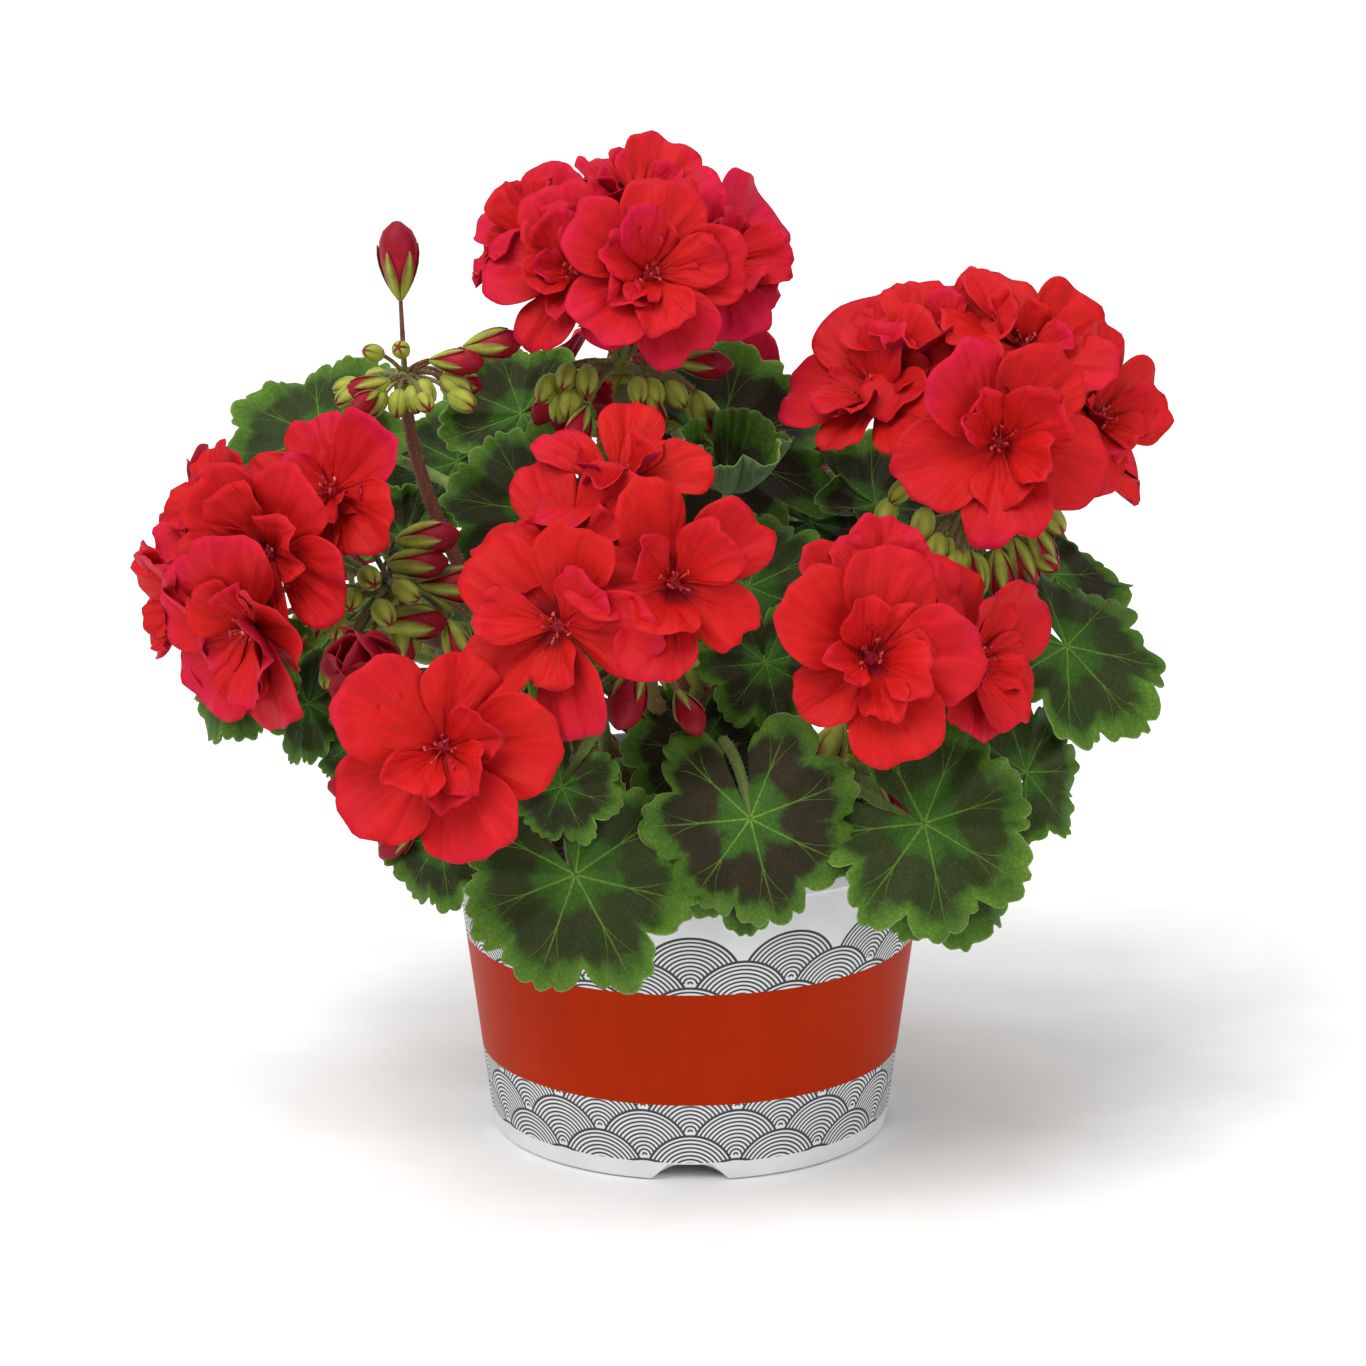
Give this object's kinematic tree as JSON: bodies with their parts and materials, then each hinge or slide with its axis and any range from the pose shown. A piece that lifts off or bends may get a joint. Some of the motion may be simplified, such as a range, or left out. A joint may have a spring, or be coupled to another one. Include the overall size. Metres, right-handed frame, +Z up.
{
  "type": "potted zonal geranium",
  "caption": "Bushy zonal geranium with red semi-double flower heads, round zoned leaves and bud heads, in a round white plastic nursery pot with a rust-red band.",
  "frame": {"origin": "centre of the pot's flat base, on the surface that it stands on", "axes": "+Z up, -Y toward the viewer of the picture (the front), +X to that viewer's right"},
  "size_m": [0.2514, 0.2249, 0.2455],
  "materials": {
    "plastic": "moulded white polypropylene, semi-gloss",
    "compost": "damp crumbly peat compost",
    "stem": "green to brown stems with short white hairs",
    "leaf": "matt velvety green leaf with a dark brown zone",
    "petal": "matt satin red petal",
    "bud": "green small stalks and buds, flushed red"
  },
  "bodies": {
    "root": {"pot": "plastic", "compost": "compost", "stems": "stem", "top_umbel": "bud", "right_umbel": "bud", "left_umbel": "bud", "middle_umbel": "bud", "front_right_umbel": "bud", "front_left_umbel": "bud", "back_umbel": "bud", "back_right_umbel": "bud", "back_left_umbel": "bud", "bud_head": "bud", "young_bud_head": "bud", "top_petals": "petal", "right_petals": "petal", "left_petals": "petal", "middle_petals": "petal", "front_right_petals": "petal", "front_left_petals": "petal", "front_left_young_petals": "petal", "back_petals": "petal", "back_right_petals": "petal", "back_left_petals": "petal", "leaf_01": "leaf", "leaf_02": "leaf", "leaf_03": "leaf", "leaf_04": "leaf", "leaf_05": "leaf", "leaf_06": "leaf", "leaf_07": "leaf", "leaf_08": "leaf", "leaf_09": "leaf", "leaf_10": "leaf", "leaf_11": "leaf", "leaf_12": "leaf", "leaf_13": "leaf", "leaf_14": "leaf", "leaf_15": "leaf", "leaf_16": "leaf", "leaf_17": "leaf", "leaf_18": "leaf", "leaf_19": "leaf", "leaf_20": "leaf", "leaf_21": "leaf", "leaf_22": "leaf", "leaf_23": "leaf", "leaf_24": "leaf", "leaf_25": "leaf", "leaf_26": "leaf", "leaf_27": "leaf", "leaf_28": "leaf", "leaf_29": "leaf", "leaf_30": "leaf", "leaf_31": "leaf", "leaf_32": "leaf", "leaf_33": "leaf", "leaf_34": "leaf", "leaf_35": "leaf", "leaf_36": "leaf"}
  },
  "joints": []
}
